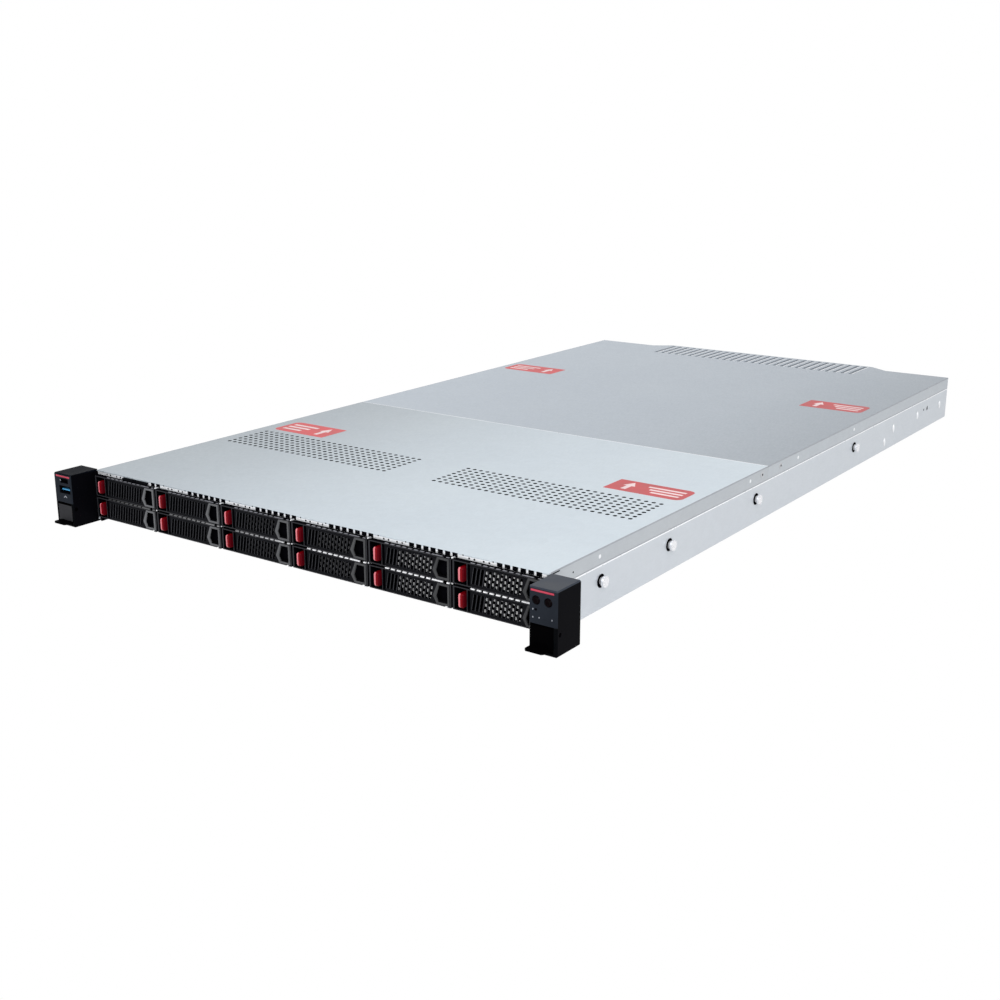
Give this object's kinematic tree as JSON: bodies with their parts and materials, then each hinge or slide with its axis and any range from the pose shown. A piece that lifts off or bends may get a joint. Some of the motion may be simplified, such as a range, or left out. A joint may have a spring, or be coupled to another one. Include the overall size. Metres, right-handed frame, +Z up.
{
  "type": "rack server",
  "caption": "One-unit rack server: low steel chassis with sliding front drive carriers, swinging handles, rack levers, a lift-off rear cover, fans and pull-out power supplies.",
  "frame": {"origin": "middle of the chassis underside, in the plane where the ears' rear faces meet the rack posts", "axes": "+X to the right seen from the front, +Y towards the rear, +Z up"},
  "size_m": [0.4826, 0.8443, 0.0432],
  "materials": {
    "zinc_steel": "galvanised sheet, satin",
    "stud_steel": "turned steel",
    "front_cover_steel": "galvanised sheet, satin",
    "rear_cover_steel": "galvanised sheet, satin",
    "board": "solder mask",
    "sink_aluminium": "extruded",
    "ear_black": "fine grain",
    "black_plastic": "moulded",
    "button_black": "glossy",
    "carrier_black": "moulded",
    "latch_red": "moulded, satin",
    "fan_black": "moulded",
    "port_steel": "tin-plated",
    "psu_steel": "galvanised"
  },
  "bodies": {
    "chassis": {"chassis_base": "zinc_steel", "rail_studs": "stud_steel", "drive_cage": "zinc_steel", "backplane": "board", "front_cover": "front_cover_steel", "ear_left": "ear_black", "ear_right": "ear_black", "fan_frames": "fan_black", "mainboard": "sink_aluminium", "connector_ports": "port_steel"},
    "drive_carrier_01": {"drive_carrier_01": "carrier_black"},
    "carrier_handle_01": {"carrier_handle_01": "carrier_black"},
    "latch_button_01": {"latch_button_01": "latch_red"},
    "drive_carrier_02": {"drive_carrier_02": "carrier_black"},
    "carrier_handle_02": {"carrier_handle_02": "carrier_black"},
    "latch_button_02": {"latch_button_02": "latch_red"},
    "drive_carrier_03": {"drive_carrier_03": "carrier_black"},
    "carrier_handle_03": {"carrier_handle_03": "carrier_black"},
    "latch_button_03": {"latch_button_03": "latch_red"},
    "drive_carrier_04": {"drive_carrier_04": "carrier_black"},
    "carrier_handle_04": {"carrier_handle_04": "carrier_black"},
    "latch_button_04": {"latch_button_04": "latch_red"},
    "drive_carrier_05": {"drive_carrier_05": "carrier_black"},
    "carrier_handle_05": {"carrier_handle_05": "carrier_black"},
    "latch_button_05": {"latch_button_05": "latch_red"},
    "drive_carrier_06": {"drive_carrier_06": "carrier_black"},
    "carrier_handle_06": {"carrier_handle_06": "carrier_black"},
    "latch_button_06": {"latch_button_06": "latch_red"},
    "drive_carrier_07": {"drive_carrier_07": "carrier_black"},
    "carrier_handle_07": {"carrier_handle_07": "carrier_black"},
    "latch_button_07": {"latch_button_07": "latch_red"},
    "drive_carrier_08": {"drive_carrier_08": "carrier_black"},
    "carrier_handle_08": {"carrier_handle_08": "carrier_black"},
    "latch_button_08": {"latch_button_08": "latch_red"},
    "drive_carrier_09": {"drive_carrier_09": "carrier_black"},
    "carrier_handle_09": {"carrier_handle_09": "carrier_black"},
    "latch_button_09": {"latch_button_09": "latch_red"},
    "drive_carrier_10": {"drive_carrier_10": "carrier_black"},
    "carrier_handle_10": {"carrier_handle_10": "carrier_black"},
    "latch_button_10": {"latch_button_10": "latch_red"},
    "drive_carrier_11": {"drive_carrier_11": "carrier_black"},
    "carrier_handle_11": {"carrier_handle_11": "carrier_black"},
    "latch_button_11": {"latch_button_11": "latch_red"},
    "drive_carrier_12": {"drive_carrier_12": "carrier_black"},
    "carrier_handle_12": {"carrier_handle_12": "carrier_black"},
    "latch_button_12": {"latch_button_12": "latch_red"},
    "rear_cover": {"rear_cover": "rear_cover_steel"},
    "info_tag": {"info_tag": "black_plastic"},
    "rack_lever_left": {"rack_lever_left": "ear_black"},
    "rack_lever_right": {"rack_lever_right": "ear_black"},
    "power_button": {"power_button": "button_black"},
    "locator_button": {"locator_button": "button_black"},
    "power_supply_1": {"power_supply_1": "psu_steel"},
    "power_supply_2": {"power_supply_2": "psu_steel"},
    "fan_rotor_1": {"fan_rotor_1": "fan_black"},
    "fan_rotor_2": {"fan_rotor_2": "fan_black"},
    "fan_rotor_3": {"fan_rotor_3": "fan_black"},
    "fan_rotor_4": {"fan_rotor_4": "fan_black"},
    "fan_rotor_5": {"fan_rotor_5": "fan_black"},
    "fan_rotor_6": {"fan_rotor_6": "fan_black"}
  },
  "joints": [
    {"name": "drive_slide_01", "type": "slide", "parent": "chassis", "child": "drive_carrier_01", "axis": [0, -1, 0], "range_m": [0, 0.12]},
    {"name": "handle_swing_01", "type": "hinge", "parent": "drive_carrier_01", "child": "carrier_handle_01", "pos_m": [-0.14993, -0.0035, 0.01315], "axis": [0, 0, 1], "range_deg": [0, 45]},
    {"name": "latch_slide_01", "type": "slide", "parent": "drive_carrier_01", "child": "latch_button_01", "axis": [-1, 0, 0], "range_m": [0, 0.0025], "stiffness_N_per_m": 400},
    {"name": "drive_slide_02", "type": "slide", "parent": "chassis", "child": "drive_carrier_02", "axis": [0, -1, 0], "range_m": [0, 0.12]},
    {"name": "handle_swing_02", "type": "hinge", "parent": "drive_carrier_02", "child": "carrier_handle_02", "pos_m": [-0.07742, -0.0035, 0.01315], "axis": [0, 0, 1], "range_deg": [0, 45]},
    {"name": "latch_slide_02", "type": "slide", "parent": "drive_carrier_02", "child": "latch_button_02", "axis": [-1, 0, 0], "range_m": [0, 0.0025], "stiffness_N_per_m": 400},
    {"name": "drive_slide_03", "type": "slide", "parent": "chassis", "child": "drive_carrier_03", "axis": [0, -1, 0], "range_m": [0, 0.12]},
    {"name": "handle_swing_03", "type": "hinge", "parent": "drive_carrier_03", "child": "carrier_handle_03", "pos_m": [-0.00492, -0.0035, 0.01315], "axis": [0, 0, 1], "range_deg": [0, 45]},
    {"name": "latch_slide_03", "type": "slide", "parent": "drive_carrier_03", "child": "latch_button_03", "axis": [-1, 0, 0], "range_m": [0, 0.0025], "stiffness_N_per_m": 400},
    {"name": "drive_slide_04", "type": "slide", "parent": "chassis", "child": "drive_carrier_04", "axis": [0, -1, 0], "range_m": [0, 0.12]},
    {"name": "handle_swing_04", "type": "hinge", "parent": "drive_carrier_04", "child": "carrier_handle_04", "pos_m": [0.06757, -0.0035, 0.01315], "axis": [0, 0, 1], "range_deg": [0, 45]},
    {"name": "latch_slide_04", "type": "slide", "parent": "drive_carrier_04", "child": "latch_button_04", "axis": [-1, 0, 0], "range_m": [0, 0.0025], "stiffness_N_per_m": 400},
    {"name": "drive_slide_05", "type": "slide", "parent": "chassis", "child": "drive_carrier_05", "axis": [0, -1, 0], "range_m": [0, 0.12]},
    {"name": "handle_swing_05", "type": "hinge", "parent": "drive_carrier_05", "child": "carrier_handle_05", "pos_m": [0.14008, -0.0035, 0.01315], "axis": [0, 0, 1], "range_deg": [0, 45]},
    {"name": "latch_slide_05", "type": "slide", "parent": "drive_carrier_05", "child": "latch_button_05", "axis": [-1, 0, 0], "range_m": [0, 0.0025], "stiffness_N_per_m": 400},
    {"name": "drive_slide_06", "type": "slide", "parent": "chassis", "child": "drive_carrier_06", "axis": [0, -1, 0], "range_m": [0, 0.12]},
    {"name": "handle_swing_06", "type": "hinge", "parent": "drive_carrier_06", "child": "carrier_handle_06", "pos_m": [0.21257, -0.0035, 0.01315], "axis": [0, 0, 1], "range_deg": [0, 45]},
    {"name": "latch_slide_06", "type": "slide", "parent": "drive_carrier_06", "child": "latch_button_06", "axis": [-1, 0, 0], "range_m": [0, 0.0025], "stiffness_N_per_m": 400},
    {"name": "drive_slide_07", "type": "slide", "parent": "chassis", "child": "drive_carrier_07", "axis": [0, -1, 0], "range_m": [0, 0.12]},
    {"name": "handle_swing_07", "type": "hinge", "parent": "drive_carrier_07", "child": "carrier_handle_07", "pos_m": [-0.14993, -0.0035, 0.03125], "axis": [0, 0, 1], "range_deg": [0, 45]},
    {"name": "latch_slide_07", "type": "slide", "parent": "drive_carrier_07", "child": "latch_button_07", "axis": [-1, 0, 0], "range_m": [0, 0.0025], "stiffness_N_per_m": 400},
    {"name": "drive_slide_08", "type": "slide", "parent": "chassis", "child": "drive_carrier_08", "axis": [0, -1, 0], "range_m": [0, 0.12]},
    {"name": "handle_swing_08", "type": "hinge", "parent": "drive_carrier_08", "child": "carrier_handle_08", "pos_m": [-0.07742, -0.0035, 0.03125], "axis": [0, 0, 1], "range_deg": [0, 45]},
    {"name": "latch_slide_08", "type": "slide", "parent": "drive_carrier_08", "child": "latch_button_08", "axis": [-1, 0, 0], "range_m": [0, 0.0025], "stiffness_N_per_m": 400},
    {"name": "drive_slide_09", "type": "slide", "parent": "chassis", "child": "drive_carrier_09", "axis": [0, -1, 0], "range_m": [0, 0.12]},
    {"name": "handle_swing_09", "type": "hinge", "parent": "drive_carrier_09", "child": "carrier_handle_09", "pos_m": [-0.00492, -0.0035, 0.03125], "axis": [0, 0, 1], "range_deg": [0, 45]},
    {"name": "latch_slide_09", "type": "slide", "parent": "drive_carrier_09", "child": "latch_button_09", "axis": [-1, 0, 0], "range_m": [0, 0.0025], "stiffness_N_per_m": 400},
    {"name": "drive_slide_10", "type": "slide", "parent": "chassis", "child": "drive_carrier_10", "axis": [0, -1, 0], "range_m": [0, 0.12]},
    {"name": "handle_swing_10", "type": "hinge", "parent": "drive_carrier_10", "child": "carrier_handle_10", "pos_m": [0.06757, -0.0035, 0.03125], "axis": [0, 0, 1], "range_deg": [0, 45]},
    {"name": "latch_slide_10", "type": "slide", "parent": "drive_carrier_10", "child": "latch_button_10", "axis": [-1, 0, 0], "range_m": [0, 0.0025], "stiffness_N_per_m": 400},
    {"name": "drive_slide_11", "type": "slide", "parent": "chassis", "child": "drive_carrier_11", "axis": [0, -1, 0], "range_m": [0, 0.12]},
    {"name": "handle_swing_11", "type": "hinge", "parent": "drive_carrier_11", "child": "carrier_handle_11", "pos_m": [0.14008, -0.0035, 0.03125], "axis": [0, 0, 1], "range_deg": [0, 45]},
    {"name": "latch_slide_11", "type": "slide", "parent": "drive_carrier_11", "child": "latch_button_11", "axis": [-1, 0, 0], "range_m": [0, 0.0025], "stiffness_N_per_m": 400},
    {"name": "drive_slide_12", "type": "slide", "parent": "chassis", "child": "drive_carrier_12", "axis": [0, -1, 0], "range_m": [0, 0.12]},
    {"name": "handle_swing_12", "type": "hinge", "parent": "drive_carrier_12", "child": "carrier_handle_12", "pos_m": [0.21257, -0.0035, 0.03125], "axis": [0, 0, 1], "range_deg": [0, 45]},
    {"name": "latch_slide_12", "type": "slide", "parent": "drive_carrier_12", "child": "latch_button_12", "axis": [-1, 0, 0], "range_m": [0, 0.0025], "stiffness_N_per_m": 400},
    {"name": "rear_cover_lift", "type": "slide", "parent": "chassis", "child": "rear_cover", "axis": [0, 0, 1], "range_m": [0, 0.06]},
    {"name": "tag_slide", "type": "slide", "parent": "chassis", "child": "info_tag", "axis": [0, -1, 0], "range_m": [0, 0.06]},
    {"name": "lever_left", "type": "hinge", "parent": "chassis", "child": "rack_lever_left", "pos_m": [-0.2309, -0.0232, 0.0145], "axis": [-1, 0, 0], "range_deg": [0, 45], "stiffness_Nm_per_rad": 0.02},
    {"name": "lever_right", "type": "hinge", "parent": "chassis", "child": "rack_lever_right", "pos_m": [0.2309, -0.0232, 0.0145], "axis": [-1, 0, 0], "range_deg": [0, 45], "stiffness_Nm_per_rad": 0.02},
    {"name": "power_press", "type": "slide", "parent": "chassis", "child": "power_button", "axis": [0, 1, 0], "range_m": [0, 0.001], "stiffness_N_per_m": 300},
    {"name": "locator_press", "type": "slide", "parent": "chassis", "child": "locator_button", "axis": [0, 1, 0], "range_m": [0, 0.001], "stiffness_N_per_m": 300},
    {"name": "supply_slide_1", "type": "slide", "parent": "chassis", "child": "power_supply_1", "axis": [0, 1, 0], "range_m": [0, 0.17]},
    {"name": "supply_slide_2", "type": "slide", "parent": "chassis", "child": "power_supply_2", "axis": [0, 1, 0], "range_m": [0, 0.17]},
    {"name": "fan_spin_1", "type": "hinge", "parent": "chassis", "child": "fan_rotor_1", "pos_m": [-0.17, 0.19265, 0.0216], "axis": [0, 1, 0], "continuous": true},
    {"name": "fan_spin_2", "type": "hinge", "parent": "chassis", "child": "fan_rotor_2", "pos_m": [-0.102, 0.19265, 0.0216], "axis": [0, 1, 0], "continuous": true},
    {"name": "fan_spin_3", "type": "hinge", "parent": "chassis", "child": "fan_rotor_3", "pos_m": [-0.034, 0.19265, 0.0216], "axis": [0, 1, 0], "continuous": true},
    {"name": "fan_spin_4", "type": "hinge", "parent": "chassis", "child": "fan_rotor_4", "pos_m": [0.034, 0.19265, 0.0216], "axis": [0, 1, 0], "continuous": true},
    {"name": "fan_spin_5", "type": "hinge", "parent": "chassis", "child": "fan_rotor_5", "pos_m": [0.102, 0.19265, 0.0216], "axis": [0, 1, 0], "continuous": true},
    {"name": "fan_spin_6", "type": "hinge", "parent": "chassis", "child": "fan_rotor_6", "pos_m": [0.17, 0.19265, 0.0216], "axis": [0, 1, 0], "continuous": true}
  ]
}
